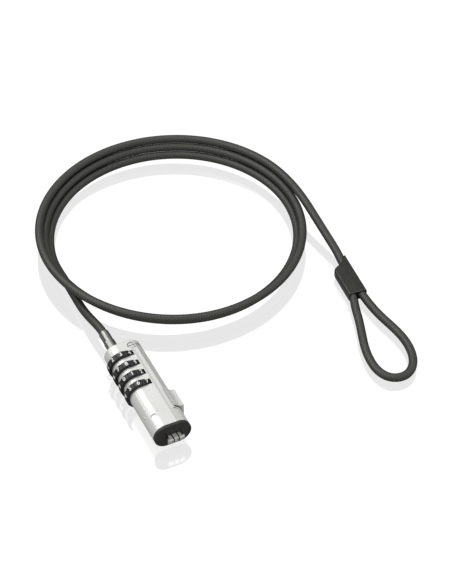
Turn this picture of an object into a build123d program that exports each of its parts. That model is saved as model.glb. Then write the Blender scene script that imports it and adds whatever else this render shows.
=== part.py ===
from build123d import *
import math
import os

# Laptop cable lock: four-dial combination lock with an expanding-hook nose,
# a swivelling cable barrel, a coiled plastic-covered steel cable and a
# crimped eye loop.  Millimetres, +Z up.
# Frame: origin at the centre of the nose cap's front face; the nose points
# along -Y, the cable leaves along +Y, the thumb slider is on the +X side.
# The lock lies on its dials, on a floor at z = -7.35.
# Suffixes: W width, H height, L length, T thickness, R radius, D depth;
# X, Y, Z a place on that axis; Y0 and Y1 the front and rear ends of a piece.

# --------------------------------------------------------- shared dimensions
BODY_W = 18.0          # overall width of the obround body (X)
BODY_H = 11.9          # overall height of the obround body (Z)
BODY_L = 57.6          # nose cap face to rear face (Y)
END_R = BODY_H / 2     # radius of the obround ends
END_X = BODY_W / 2 - END_R
CAP_T = 1.65           # visible thickness of the nose cap

DIAL_X = -END_X        # axis of the dials, spindle and swivel
DIAL_PITCH = 6.65
DIAL_Y = [49.20 - DIAL_PITCH * k for k in range(4)]   # dial 1 is nearest the cable
BORE_R = 3.70          # housing bore round the code sleeves
SLEEVE_R = 3.62
COLLAR_T = 1.40        # locking collar inside each sleeve
KEY_W = 0.80           # key between sleeve and dial
SPINDLE_R = 1.80

CAVITY_HALF_W = 6.20   # front cavity
CAVITY_HALF_H = 3.70
CAVITY_Y1 = 22.40
CAVITY_CORNER_R = 0.4

HEAD_X, HEAD_Z = 0.30, -0.70     # centre of the locking head in the cap
PIVOT_X, PIVOT_Y = 3.40, 8.50    # hook pivots, x from the head centre
HOOK_PIVOTS = ((PIVOT_X, PIVOT_Y), (-PIVOT_X, PIVOT_Y))
PIVOT_PIN_R = 0.70
HOOK_T = 2.50
BLADE_T = 2.90
HEAD_SLOT_PLAY = 0.12

STEM_Y0, STEM_Y1 = 14.60, 17.60  # stem of the thumb slider
STEM_Y = (STEM_Y0 + STEM_Y1) / 2
STEM_L = STEM_Y1 - STEM_Y0
STEM_H = 3.2

SPRING_X = 5.22        # mid plane of the detent spring
SPRING_Y0 = 26.9
SPRING_L = 25.0
SPRING_H = 4.0

SCREW_X, SCREW_Y = 3.20, 53.95   # code-change screw
SCREW_R = 1.60
SCREW_Z0 = 3.0         # inner end

SIDE_PIN_Y, SIDE_PIN_Z = 12.1, 2.6   # cross pin through the left side
REAR_PIN_Y = 56.35                   # cross pin up through the underside
CROSS_PIN_R = 0.50
CROSS_HOLE_R = CROSS_PIN_R + 0.02

CABLE_R = 2.00         # over the plastic jacket
CORE_R = 1.15          # steel rope
CORE_HOLE_R = CORE_R + 0.04

os.makedirs("parts", exist_ok=True)


def section(y, x=0, z=0):
    """Plane across the lock at y: local x is X, local y is Z, +y is extruded by -amount."""
    return Plane(origin=(x, y, z), x_dir=(1, 0, 0), z_dir=(0, -1, 0))


def side(x, y=0, z=0):
    """Plane facing +X at x: local x is Y, local y is Z."""
    return Plane(origin=(x, y, z), x_dir=(0, 1, 0), z_dir=(1, 0, 0))


def plan(z, x=0, y=0):
    """Plane facing +Z at z: local x is X, local y is Y."""
    return Plane(origin=(x, y, z), x_dir=(1, 0, 0), z_dir=(0, 0, 1))


def save(name, part):
    part.label = name
    export_step(part, f"parts/{name}.step")


# ------------------------------------------------------------------- housing
REAR_FILLET = 0.9
# stepped shoulder, (x, z) of its upper half
SHOULDER = ((2.70, 7), (2.70, END_R), (3.85, 5.52), (5.50, 5.40), (5.50, 7))
SHOULDER_Y1 = 52.5
SIDE_FLAT_Y0, SIDE_FLAT_Y1 = 10.6, 55.0
CREASE_Y0 = 9.9
FLUTE_W = 3.20         # short thumb flutes behind the nose cap
FLUTE_Y1 = 10.50
FLUTE_FLOOR = 5.50     # flute floor, from the end axis
FLUTE_TILT = 21.0
BORE_Y0 = 24.6
SLOT_W = 3.30          # dial slots, along Y
SLOT_X0, SLOT_X1 = -12, 2.40
POCKET_R = 7.52        # pocket round each dial
SPRING_END_PLAY = 0.3
STEM_SLOT_Y0, STEM_SLOT_Y1 = 14.3, 21.4


def flat_cut(side_x, side_z, tilt, distance, half_span):
    """Corners of a flat cut 2 deep, its floor at distance from an end axis.

    The floor's normal is tilted from vertical, towards +X for a positive tilt.
    """
    normal_x, normal_z = math.sin(math.radians(tilt)), math.cos(math.radians(tilt))
    floor_x = side_x * END_X + distance * normal_x
    floor_z = distance * normal_z
    return [
        (floor_x + along * normal_z + out * normal_x,
         side_z * (floor_z - along * normal_x + out * normal_z))
        for along, out in ((-half_span, 0), (half_span, 0), (half_span, 2), (-half_span, 2))
    ]


flute_sin = math.sin(math.radians(FLUTE_TILT))
flute_cos = math.cos(math.radians(FLUTE_TILT))
with BuildPart() as housing:
    with BuildSketch(section(CAP_T)):
        SlotOverall(BODY_W, BODY_H)
    extrude(amount=-(BODY_L - CAP_T))
    fillet(housing.faces().sort_by(Axis.Y)[-1].edges(), radius=REAR_FILLET)
    for side_z in (1, -1):
        # stepped shoulder and side flat on the slider side
        with BuildSketch(section(CAP_T)):
            with BuildLine():
                Polyline(*[(x, z * side_z) for x, z in SHOULDER], close=True)
            make_face()
        extrude(amount=-(SHOULDER_Y1 - CAP_T), mode=Mode.SUBTRACT)
        with BuildSketch(section(SIDE_FLAT_Y0)):
            with BuildLine():
                Polyline(*flat_cut(1, side_z, tilt=48, distance=5.45, half_span=3.2),
                         close=True)
            make_face()
        extrude(amount=-(SIDE_FLAT_Y1 - SIDE_FLAT_Y0), mode=Mode.SUBTRACT)
        # shallow crease on the dial side
        with BuildSketch(section(CREASE_Y0)):
            with BuildLine():
                Polyline(*flat_cut(-1, side_z, tilt=-36.5, distance=5.86, half_span=0.60),
                         close=True)
            make_face()
        extrude(amount=-60, mode=Mode.SUBTRACT)
        # flutes running back from the nose cap
        for side_x in (1, -1):
            with BuildSketch(Plane(
                    origin=(side_x * (END_X + FLUTE_FLOOR * flute_sin), 0,
                            side_z * FLUTE_FLOOR * flute_cos),
                    x_dir=(0, 1, 0),
                    z_dir=(side_x * flute_sin, 0, side_z * flute_cos))):
                SlotOverall(2 * FLUTE_Y1, FLUTE_W)
            extrude(amount=2, mode=Mode.SUBTRACT)
    # index dimple beside the code line
    with Locations((-2.25, 11.2, END_R + 0.22)):
        Sphere(0.42, mode=Mode.SUBTRACT)
    # front cavity for the nose block, carriage and return spring
    with BuildSketch(section(CAP_T)):
        RectangleRounded(2 * CAVITY_HALF_W, 2 * CAVITY_HALF_H, CAVITY_CORNER_R)
    extrude(amount=-(CAVITY_Y1 - CAP_T), mode=Mode.SUBTRACT)
    # spindle bearing in the cavity wall, then the bore round the sleeves
    with BuildSketch(section(CAVITY_Y1 - 0.5, DIAL_X)):
        Circle(SPINDLE_R + 0.07)
    extrude(amount=-4, mode=Mode.SUBTRACT)
    with BuildSketch(section(BORE_Y0, DIAL_X)):
        Circle(BORE_R)
    extrude(amount=-40, mode=Mode.SUBTRACT)
    # dial slots: open on top, left side and bottom
    for dial_y in DIAL_Y:
        with BuildSketch(section(dial_y - SLOT_W / 2)):
            with Locations(((SLOT_X0 + SLOT_X1) / 2, 0)):
                Rectangle(SLOT_X1 - SLOT_X0, 16)
            with Locations((DIAL_X, 0)):
                Circle(POCKET_R)
        extrude(amount=-SLOT_W, mode=Mode.SUBTRACT)
    # channel for the detent spring
    with BuildSketch(section(SPRING_Y0 - SPRING_END_PLAY, SPRING_X - 0.22)):
        Rectangle(1.40, SPRING_H + 0.4)
    extrude(amount=-(SPRING_L + 2 * SPRING_END_PLAY), mode=Mode.SUBTRACT)
    # side slot for the slider stem
    with BuildSketch(side(5.5, (STEM_SLOT_Y0 + STEM_SLOT_Y1) / 2)):
        RectangleRounded(STEM_SLOT_Y1 - STEM_SLOT_Y0, STEM_H + 0.4, 0.4)
    extrude(amount=6, mode=Mode.SUBTRACT)
    # code-change screw pocket and the shallow recess round its mouth
    with BuildSketch(plan(SCREW_Z0 - 0.1, SCREW_X, SCREW_Y)):
        Circle(SCREW_R + 0.06)
    extrude(amount=6, mode=Mode.SUBTRACT)
    with BuildSketch(plan(END_R - 0.28, SCREW_X, SCREW_Y)):
        Circle(SCREW_R + 0.28)
    extrude(amount=3, mode=Mode.SUBTRACT)
    # cross pin holes
    with BuildSketch(side(-10, SIDE_PIN_Y, SIDE_PIN_Z)):
        Circle(CROSS_HOLE_R)
    extrude(amount=6, mode=Mode.SUBTRACT)
    with BuildSketch(plan(-8, DIAL_X, REAR_PIN_Y)):
        Circle(CROSS_HOLE_R)
    extrude(amount=5, mode=Mode.SUBTRACT)
save("housing", housing.part)

# ------------------------------------------------------------------ nose cap
SPIGOT_PLAY = 0.1
SPIGOT_L = 1.85
WINDOW_W, WINDOW_H = 6.9, 3.3
with BuildPart() as nose_cap:
    with BuildSketch(section(0)):
        SlotOverall(BODY_W, BODY_H)
    extrude(amount=-CAP_T)
    fillet(nose_cap.faces().sort_by(Axis.Y)[0].edges(), radius=0.35)
    # spigot that plugs into the housing cavity
    with BuildSketch(section(CAP_T)):
        RectangleRounded(2 * CAVITY_HALF_W - SPIGOT_PLAY, 2 * CAVITY_HALF_H - SPIGOT_PLAY,
                         CAVITY_CORNER_R)
    extrude(amount=-SPIGOT_L)
    # window for the locking head
    with BuildSketch(section(-1, HEAD_X, HEAD_Z)):
        RectangleRounded(WINDOW_W, WINDOW_H, 0.3)
    extrude(amount=-6, mode=Mode.SUBTRACT)
save("nose_cap", nose_cap.part)

# ---------------------------------------------------------------- nose block
BLOCK_Y0, BLOCK_Y1 = 3.60, 13.00
BLOCK_PLAY = 0.14
HOOK_SLOT_W = 6.5      # round the hook stems
PIVOT_SLOT_W = 10.7    # round the hook pivots
PIVOT_SLOT_Y0 = 4.6
BLADE_CHANNEL_W = 3.3
with BuildPart() as nose_block:
    with BuildSketch(section(BLOCK_Y0)):
        RectangleRounded(2 * CAVITY_HALF_W - BLOCK_PLAY, 2 * CAVITY_HALF_H - BLOCK_PLAY,
                         CAVITY_CORNER_R)
    extrude(amount=-(BLOCK_Y1 - BLOCK_Y0))
    # slot for the hook stems, wider behind for the pivots
    with BuildSketch(section(0, HEAD_X, HEAD_Z)):
        Rectangle(HOOK_SLOT_W, HOOK_T + HEAD_SLOT_PLAY)
    extrude(amount=-5, mode=Mode.SUBTRACT)
    with BuildSketch(section(PIVOT_SLOT_Y0, HEAD_X, HEAD_Z)):
        Rectangle(PIVOT_SLOT_W, HOOK_T + HEAD_SLOT_PLAY)
    extrude(amount=-7.2, mode=Mode.SUBTRACT)
    # channel for the blade
    with BuildSketch(section(0, HEAD_X, HEAD_Z)):
        Rectangle(BLADE_CHANNEL_W, BLADE_T + HEAD_SLOT_PLAY)
    extrude(amount=-20, mode=Mode.SUBTRACT)
    # clearance for the spindle end and its clip
    with BuildSketch(section(12.2, DIAL_X)):
        Circle(2.8)
    extrude(amount=-2, mode=Mode.SUBTRACT)
    # pivot pin holes and cross pin hole
    with BuildSketch(plan(-5, HEAD_X)):
        with Locations(*HOOK_PIVOTS):
            Circle(PIVOT_PIN_R + 0.02)
    extrude(amount=10, mode=Mode.SUBTRACT)
    with BuildSketch(side(-10, SIDE_PIN_Y, SIDE_PIN_Z)):
        Circle(CROSS_HOLE_R)
    extrude(amount=7.9, mode=Mode.SUBTRACT)
save("nose_block", nose_block.part)

PIVOT_PIN_HALF_L = 3.55
with BuildPart() as hook_pins:
    with BuildSketch(plan(-PIVOT_PIN_HALF_L, HEAD_X)):
        with Locations(*HOOK_PIVOTS):
            Circle(PIVOT_PIN_R)
    extrude(amount=2 * PIVOT_PIN_HALF_L)
save("hook_pins", hook_pins.part)

# --------------------------------------------------------------------- hooks
HOOK_IN, HOOK_OUT = 1.60, 2.90   # inner and outer face of the stem
HOOK_TAIL_IN, HOOK_TAIL_OUT = 2.05, 5.0
HOOK_TAIL_Y1 = 11.0
LUG_OUT = 4.05         # half width over the hook lugs
LUG_Y1 = -2.15         # rear face of the lugs
HOOK_Y0 = -3.25        # front of the hooks
# right hook, (distance from the head centre plane, y)
HOOK_OUTLINE = (
    (HOOK_IN, LUG_Y1), (HOOK_IN - 0.12, HOOK_Y0), (3.65, HOOK_Y0),
    (LUG_OUT, HOOK_Y0 + 0.40), (LUG_OUT, LUG_Y1), (HOOK_OUT, LUG_Y1),
    (HOOK_OUT, 6.3), (3.5, 6.9), (HOOK_TAIL_OUT, 7.3), (HOOK_TAIL_OUT, HOOK_TAIL_Y1),
    (HOOK_TAIL_IN, HOOK_TAIL_Y1), (HOOK_TAIL_IN, 6.1), (HOOK_IN, 5.6),
)
for name, side_x in (("hook_left", -1), ("hook_right", 1)):
    with BuildPart() as hook:
        with BuildSketch(plan(HEAD_Z - HOOK_T / 2, HEAD_X)):
            with BuildLine():
                Polyline(*[(side_x * x, y) for x, y in HOOK_OUTLINE], close=True)
            make_face()
            with Locations((side_x * PIVOT_X, PIVOT_Y)):
                Circle(PIVOT_PIN_R + 0.05, mode=Mode.SUBTRACT)
        extrude(amount=HOOK_T)
        chamfer(hook.faces().sort_by(Axis.Y)[0].edges().filter_by(Axis.X), length=0.35)
    save(name, hook.part)

# right leaf spring, (distance from the head centre plane, y)
HOOK_SPRING_OUTLINE = (
    (5.28, 6.55), (5.28, 4.75), (5.05, 4.70), (3.05, 5.45), (2.97, 5.75),
    (3.10, 5.78), (3.22, 5.55), (5.10, 4.90), (5.12, 6.55),
)
HOOK_SPRING_H = 1.6
with BuildPart() as hook_springs:
    with BuildSketch(plan(HEAD_Z - HOOK_SPRING_H / 2, HEAD_X)):
        for side_x in (1, -1):
            with BuildLine():
                Polyline(*[(side_x * x, y) for x, y in HOOK_SPRING_OUTLINE], close=True)
            make_face()
    extrude(amount=HOOK_SPRING_H)
save("hook_springs", hook_springs.part)

# --------------------------------------------------------------- wedge blade
BLADE_HALF_W = 1.05    # between the hooks
CAM_HALF_W = 1.48      # cam behind it
TANG_HALF_W = 1.25     # rear end, socketed in the carriage
# right half from front to rear, (distance from the head centre plane, y)
BLADE_OUTLINE = [
    (0.80, -3.20), (0.95, -3.05), (BLADE_HALF_W, 0.2), (BLADE_HALF_W, 2.8),
    (1.38, 3.1), (CAM_HALF_W, 4.1), (CAM_HALF_W, 5.5), (TANG_HALF_W, 5.9),
    (TANG_HALF_W, 16.0),
]
with BuildPart() as wedge_blade:
    with BuildSketch(plan(HEAD_Z - BLADE_T / 2, HEAD_X)):
        with BuildLine():
            Polyline(*BLADE_OUTLINE, *[(-x, y) for x, y in reversed(BLADE_OUTLINE)],
                     close=True)
        make_face()
    extrude(amount=BLADE_T)
    chamfer(wedge_blade.faces().sort_by(Axis.Y)[0].edges().filter_by(Axis.X), length=0.3)
save("wedge_blade", wedge_blade.part)

# ------------------------------------------------------------------ carriage
CARRIAGE_Y0, CARRIAGE_Y1 = 13.80, 18.20
CARRIAGE_PLAY = 0.24
SOCKET_PLAY = 0.04
with BuildPart() as carriage:
    with BuildSketch(section(CARRIAGE_Y0)):
        RectangleRounded(2 * CAVITY_HALF_W - CARRIAGE_PLAY,
                         2 * CAVITY_HALF_H - CARRIAGE_PLAY, CAVITY_CORNER_R)
    extrude(amount=-(CARRIAGE_Y1 - CARRIAGE_Y0))
    # bore for the spindle, counterbore for the return spring
    with BuildSketch(section(0, DIAL_X)):
        Circle(SPINDLE_R + 0.02)
    extrude(amount=-30, mode=Mode.SUBTRACT)
    with BuildSketch(section(16.2, DIAL_X)):
        Circle(2.70)
    extrude(amount=-5, mode=Mode.SUBTRACT)
    # socket for the blade
    with BuildSketch(section(0, HEAD_X, HEAD_Z)):
        Rectangle(2 * TANG_HALF_W + SOCKET_PLAY, BLADE_T + SOCKET_PLAY)
    extrude(amount=-16.05, mode=Mode.SUBTRACT)
    # socket and screw hole for the slider stem
    with BuildSketch(side(3.4, STEM_Y)):
        Rectangle(STEM_L + SOCKET_PLAY, STEM_H + SOCKET_PLAY)
    extrude(amount=6, mode=Mode.SUBTRACT)
    with BuildSketch(side(2.0, STEM_Y)):
        Circle(0.77)
    extrude(amount=3, mode=Mode.SUBTRACT)
save("carriage", carriage.part)

# ------------------------------------------------------------- thumb slider
SLIDER_X1 = 10.70      # outer face
SLIDER_Y0, SLIDER_Y1 = 11.70, 22.30
SLIDER_X0 = 4.5        # inner edge of the profile, before the body is cut away
GRIP_HALF_H = 3.30     # at the outer face
ROOT_HALF_H = 5.05     # where the coves start
ROOT_X = 6.6
SADDLE_T = 0.42
SADDLE_LIP = 0.45      # saddle in front of the block
SLIDER_PLAY = 0.07
with BuildPart() as thumb_slider:
    with BuildSketch(section(SLIDER_Y0)):
        with BuildLine():
            # the top and bottom of the block sweep out of the body in a cove
            bottom = Line((SLIDER_X0, -ROOT_HALF_H), (ROOT_X, -ROOT_HALF_H))
            ThreePointArc(bottom @ 1, (8.48, -3.72), (SLIDER_X1, -GRIP_HALF_H))
            Line((SLIDER_X1, -GRIP_HALF_H), (SLIDER_X1, GRIP_HALF_H))
            ThreePointArc((SLIDER_X1, GRIP_HALF_H), (8.48, 3.72), (ROOT_X, ROOT_HALF_H))
            top = Line((ROOT_X, ROOT_HALF_H), (SLIDER_X0, ROOT_HALF_H))
            Line(top @ 1, bottom @ 0)
        make_face()
    extrude(amount=-(SLIDER_Y1 - SLIDER_Y0))
    fillet(thumb_slider.faces().sort_by(Axis.X)[-1].edges(), radius=0.35)
    # thin saddle that follows the body on both sides of the block
    with BuildSketch(section(SLIDER_Y0 - SADDLE_LIP)):
        with Locations((8.0, 0)):
            Rectangle(5.0, 13)
        SlotOverall(BODY_W + 2 * SADDLE_T, BODY_H + 2 * SADDLE_T, mode=Mode.INTERSECT)
    extrude(amount=-(SLIDER_Y1 - SLIDER_Y0 + 0.95))
    # the inside follows the body with a small running clearance
    with BuildSketch(section(0)):
        SlotOverall(BODY_W + 2 * SLIDER_PLAY, BODY_H + 2 * SLIDER_PLAY)
    extrude(amount=-40, mode=Mode.SUBTRACT)
    # stem through the side slot
    with BuildSketch(side(3.42, STEM_Y)):
        RectangleRounded(STEM_L, STEM_H, 0.2)
    extrude(amount=6.2)
    # counterbored screw hole
    with BuildSketch(side(3, STEM_Y)):
        Circle(0.80)
    extrude(amount=10, mode=Mode.SUBTRACT)
    with BuildSketch(side(9.6, STEM_Y)):
        Circle(1.45)
    extrude(amount=3, mode=Mode.SUBTRACT)
save("thumb_slider", thumb_slider.part)

with BuildPart() as slider_screw:
    with BuildSketch(side(2.1, STEM_Y)):
        Circle(0.75)
    extrude(amount=7.6)
    with BuildSketch(side(9.62, STEM_Y)):
        Circle(1.38)
    extrude(amount=0.86)
    # cross recess
    with BuildSketch(side(10.08, STEM_Y)):
        Rectangle(1.6, 0.36)
        Rectangle(0.36, 1.6)
    extrude(amount=1, mode=Mode.SUBTRACT)
save("slider_screw", slider_screw.part)

# ------------------------------------------------------------------- spindle
SPINDLE_Y0, SPINDLE_Y1 = 13.10, 50.00
FIN_R = 2.75           # tip
FIN_ROOT = 1.0         # buried in the spindle
FIN_W = 1.05
FIN_L = 1.20
FIN_GAP = 0.20         # fin to collar at rest
GROOVE_Y0 = 13.28
GROOVE_R = 1.36
GROOVE_L = 0.46
with BuildPart() as spindle:
    with BuildSketch(section(SPINDLE_Y0, DIAL_X)):
        Circle(SPINDLE_R)
    extrude(amount=-(SPINDLE_Y1 - SPINDLE_Y0))
    chamfer(spindle.faces().sort_by(Axis.Y)[-1].edges(), length=0.4)
    # groove for the clip
    with BuildSketch(section(GROOVE_Y0, DIAL_X)):
        Circle(3)
        Circle(GROOVE_R, mode=Mode.SUBTRACT)
    extrude(amount=-GROOVE_L, mode=Mode.SUBTRACT)
    # one fin in front of each sleeve collar, all on the code line
    for dial_y in DIAL_Y:
        with BuildSketch(section(dial_y - COLLAR_T / 2 - FIN_GAP - FIN_L, DIAL_X)):
            with Locations((0, (FIN_R + FIN_ROOT) / 2)):
                Rectangle(FIN_W, FIN_R - FIN_ROOT)
        extrude(amount=-FIN_L)
save("spindle", spindle.part)

with BuildPart() as spindle_clip:
    with BuildSketch(section(GROOVE_Y0 + 0.04, DIAL_X)):
        Circle(2.0)
        Circle(GROOVE_R + 0.02, mode=Mode.SUBTRACT)
        with Locations((0, -2)):
            Rectangle(1.9, 4, mode=Mode.SUBTRACT)
    extrude(amount=-(GROOVE_L - 0.08))
save("spindle_clip", spindle_clip.part)

# ------------------------------------------------------------- return spring
with BuildPart() as return_spring:
    with BuildLine() as spring_path:
        Helix(pitch=1.15, height=5.60, radius=2.24, center=(DIAL_X, 16.42, 0),
              direction=(0, 1, 0))
    with BuildSketch(Plane(origin=spring_path.line @ 0, z_dir=spring_path.line % 0)):
        Circle(0.18)
    sweep(path=spring_path.line, is_frenet=True)
save("return_spring", return_spring.part)

# ----------------------------------------------------- code sleeves and dials
SLEEVE_BORE_R = 2.95
SLEEVE_L = 4.80
COLLAR_BORE_R = 1.88
NOTCH_W = 1.35         # gate in the collar that lets a fin through
KEY_L = 2.9
DIAL_R = 7.35
DIAL_T = 3.10
DIAL_BORE_R = 3.66
DIAL_CHAMFER = 0.35
POSITIONS = 10         # characters on a dial
for number, dial_y in enumerate(DIAL_Y, start=1):
    with BuildPart() as dial_sleeve:
        with BuildSketch(section(dial_y - SLEEVE_L / 2, DIAL_X)):
            Circle(SLEEVE_R)
            Circle(SLEEVE_BORE_R, mode=Mode.SUBTRACT)
        extrude(amount=-SLEEVE_L)
        # notched collar
        with BuildSketch(section(dial_y - COLLAR_T / 2, DIAL_X)):
            Circle(SLEEVE_BORE_R + 0.2)
            Circle(COLLAR_BORE_R, mode=Mode.SUBTRACT)
            with Locations((0, 2)):
                Rectangle(NOTCH_W, 1.9, mode=Mode.SUBTRACT)
        extrude(amount=-COLLAR_T)
        # key on top
        with BuildSketch(section(dial_y - KEY_L / 2, DIAL_X)):
            with Locations((0, SLEEVE_R)):
                Rectangle(KEY_W, 0.8)
            Circle(SLEEVE_BORE_R + 0.3, mode=Mode.SUBTRACT)
        extrude(amount=-KEY_L)
    save(f"dial_sleeve_{number}", dial_sleeve.part)

    with BuildPart() as dial:
        with BuildSketch(section(dial_y - DIAL_T / 2, DIAL_X)):
            Circle(DIAL_R)
        extrude(amount=-DIAL_T)
        chamfer(dial.faces().sort_by(Axis.Y)[0].edges(), length=DIAL_CHAMFER)
        chamfer(dial.faces().sort_by(Axis.Y)[-1].edges(), length=DIAL_CHAMFER)
        with BuildSketch(section(dial_y - 5, DIAL_X)):
            Circle(DIAL_BORE_R)
            with Locations((0, DIAL_BORE_R)):
                Rectangle(KEY_W + 0.08, 0.96)
            # shallow finger grooves between the characters
            with PolarLocations(DIAL_R + 0.14, POSITIONS, start_angle=90 + 180 / POSITIONS):
                Circle(0.34)
        extrude(amount=-10, mode=Mode.SUBTRACT)
    save(f"dial_{number}", dial.part)

# ------------------------------------------------------------- detent spring
with BuildPart() as detent_spring:
    with BuildSketch(section(SPRING_Y0, SPRING_X)):
        Rectangle(0.28, SPRING_H)
    extrude(amount=-SPRING_L)
    # a bump at each dial
    for dial_y in DIAL_Y:
        with BuildSketch(section(dial_y - 0.5, SPRING_X - 0.37)):
            Circle(0.42)
        extrude(amount=-1.0)
    # slits between the dials
    for dial_y in DIAL_Y[:-1]:
        with BuildSketch(side(4.5, dial_y - 3.33, 0.5)):
            Rectangle(0.5, 3.2)
        extrude(amount=2, mode=Mode.SUBTRACT)
save("detent_spring", detent_spring.part)

# --------------------------------------------------------- code-change screw
with BuildPart() as code_change_screw:
    with BuildSketch(plan(SCREW_Z0, SCREW_X, SCREW_Y)):
        Circle(SCREW_R)
    extrude(amount=END_R - 0.30 - SCREW_Z0)
    chamfer(code_change_screw.faces().sort_by(Axis.Z)[-1].edges(), length=0.15)
    # driver slot
    with BuildSketch(plan(END_R - 0.65, SCREW_X, SCREW_Y)):
        Rectangle(4, 0.45)
    extrude(amount=2, mode=Mode.SUBTRACT)
save("code_change_screw", code_change_screw.part)

# -------------------------------------------------- rear bush and cross pins
BUSH_Y0 = 55.30
with BuildPart() as rear_bush:
    with BuildSketch(section(BUSH_Y0, DIAL_X)):
        Circle(BORE_R - 0.02)
        Circle(2.05, mode=Mode.SUBTRACT)
    extrude(amount=-(BODY_L - BUSH_Y0))
    with BuildSketch(plan(-8, DIAL_X, REAR_PIN_Y)):
        Circle(CROSS_HOLE_R)
    extrude(amount=5.2, mode=Mode.SUBTRACT)
save("rear_bush", rear_bush.part)

with BuildPart() as cross_pins:
    with BuildSketch(side(-8.56, SIDE_PIN_Y, SIDE_PIN_Z)):
        Circle(CROSS_PIN_R)
    extrude(amount=6.38)
    fillet(cross_pins.faces().sort_by(Axis.X)[0].edges(), radius=0.22)
    with BuildSketch(plan(-END_R + 0.02, DIAL_X, REAR_PIN_Y)):
        Circle(CROSS_PIN_R)
    extrude(amount=3.1)
save("cross_pins", cross_pins.part)

# ---------------------------------------------- cable barrel with its swivel
HEX_Y0 = 57.85
HEX_L = 7.0
with BuildPart() as cable_barrel:
    # flange and neck inside the housing
    with BuildSketch(section(53.90, DIAL_X)):
        Circle(2.90)
    extrude(amount=-1.30)
    with BuildSketch(section(55.10, DIAL_X)):
        Circle(1.98)
    extrude(amount=-3.0)
    # hexagon with rounded corners, then the round tail
    with BuildSketch(section(HEX_Y0, DIAL_X)):
        Circle(2.70)
        RegularPolygon(2.98, 6, rotation=30, mode=Mode.INTERSECT)
    extrude(amount=-HEX_L)
    with BuildSketch(section(HEX_Y0 + HEX_L, DIAL_X)):
        Circle(2.45)
    extrude(amount=-6.75)
    fillet(cable_barrel.faces().sort_by(Axis.Y)[-1].edges(), radius=0.3)
    # bores for the bare rope and the jacket
    with BuildSketch(section(58.9, DIAL_X)):
        Circle(CORE_HOLE_R)
    extrude(amount=-14, mode=Mode.SUBTRACT)
    with BuildSketch(section(63.4, DIAL_X)):
        Circle(CABLE_R + 0.06)
    extrude(amount=-10, mode=Mode.SUBTRACT)
save("cable_barrel", cable_barrel.part)

# --------------------------------------------------------------- cable route
COIL_X, COIL_Y = 55.68, 123.87
COIL_R = 66.10         # outermost turn
COIL_STEP_R = 2.50     # radial step per turn
COIL_Z = 3.32          # outermost turn, height of the cable centre
COIL_DROP = 3.25       # drop per turn
COIL_TURN = -25.43     # start angle of the coil about Z
COIL_PHI0, COIL_PHI1, COIL_PHI_STEP = 30, 930, 10   # eye end, lock end
# the upper turns ride over the leg that runs to the lock
CROSSING_PHI = 228
CROSSING_SPAN = 75     # half width of the hump, degrees
CROSSING_RISE = 1.35
CROSSING_LAST_PHI = 760

CRIMP_X, CRIMP_Y, CRIMP_Z = 119.90, 60.00, -4.12
CRIMP_DIR = (-0.0785, -0.9969)   # from the coil towards the eye
LEG_OFFSET = 2.15      # half distance of the two cable legs
EYE_Z = -4.85          # cable centre round the eye
# (x, y) round the eye, from the right leg to the left
EYE_LOOP = (
    (120.65, 36.5), (121.75, 29), (123.2, 21), (124.0, 12.5), (122.9, 3.4),
    (118.7, -4.9), (113.0, -8.3), (107.1, -7.0), (103.5, -1.5), (102.8, 5.8),
    (104.4, 15), (107.9, 25), (111.2, 34),
)
SPANS = 24             # the route is swept span by span


def coil_point(phi):
    """Centre of the cable on the coil; phi counts back from the eye end."""
    turns = (phi - COIL_PHI0) / 360
    angle = math.radians(phi + COIL_TURN)
    radius = COIL_R - COIL_STEP_R * turns
    z = COIL_Z - COIL_DROP * turns
    if phi < CROSSING_LAST_PHI:
        offset = (phi - CROSSING_PHI + 180) % 360 - 180
        if abs(offset) < CROSSING_SPAN:
            z += CROSSING_RISE * 0.5 * (1 + math.cos(math.pi * offset / CROSSING_SPAN))
    return (COIL_X + radius * math.cos(angle), COIL_Y + radius * math.sin(angle), z)


def crimp_point(along, lateral, z=CRIMP_Z):
    """Point in the crimp: along towards the eye, lateral towards the left leg."""
    dir_x, dir_y = CRIMP_DIR
    return (CRIMP_X + along * dir_x + lateral * dir_y,
            CRIMP_Y + along * dir_y - lateral * dir_x, z)


def sweep_path(line):
    """The line as a wire of equal spans."""
    return Wire([line.trim(k / SPANS, (k + 1) / SPANS) for k in range(SPANS)])


# out of the barrel and down under the coil
route = [(DIAL_X, 59.0, 0), (DIAL_X, 61.5, 0), (DIAL_X, 64.5, 0), (DIAL_X, 67.5, 0),
         (DIAL_X, 71.2, 0), (-3.35, 76.5, -0.25), (-3.90, 82.5, -1.15),
         (-4.22, 89.0, -2.65), (-4.25, 95.5, -3.95), (-4.05, 102.0, -4.72)]
route += [coil_point(phi) for phi in range(COIL_PHI1, COIL_PHI0 - 1, -COIL_PHI_STEP)]
# down to the crimp and through its right leg
route += [(122.1, 120, 3.45), (122.35, 111, 2.75), (122.5, 102, 1.15),
          (122.65, 92, -0.85), (122.85, 82, -2.75)]
route += [crimp_point(along, -LEG_OFFSET) for along in (-12.5, -7, -3.5, 0, 3.5, 7)]
# round the eye and back into the left leg
route += [crimp_point(12, -LEG_OFFSET - 0.05, -4.3), (120.35, 43.0, -4.72)]
route += [(x, y, EYE_Z) for x, y in EYE_LOOP]
route += [(113.8, 42.0, -4.72), crimp_point(12, LEG_OFFSET + 0.35, -4.3)]
route += [crimp_point(along, LEG_OFFSET) for along in (7, 3.5, 0, -3.2, -6.4)]

core_line = Spline(*route)
with BuildPart() as cable_core:
    with BuildSketch(Plane(origin=core_line @ 0, z_dir=core_line % 0)):
        Circle(CORE_R)
    sweep(path=sweep_path(core_line))
save("cable_core", cable_core.part)

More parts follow.
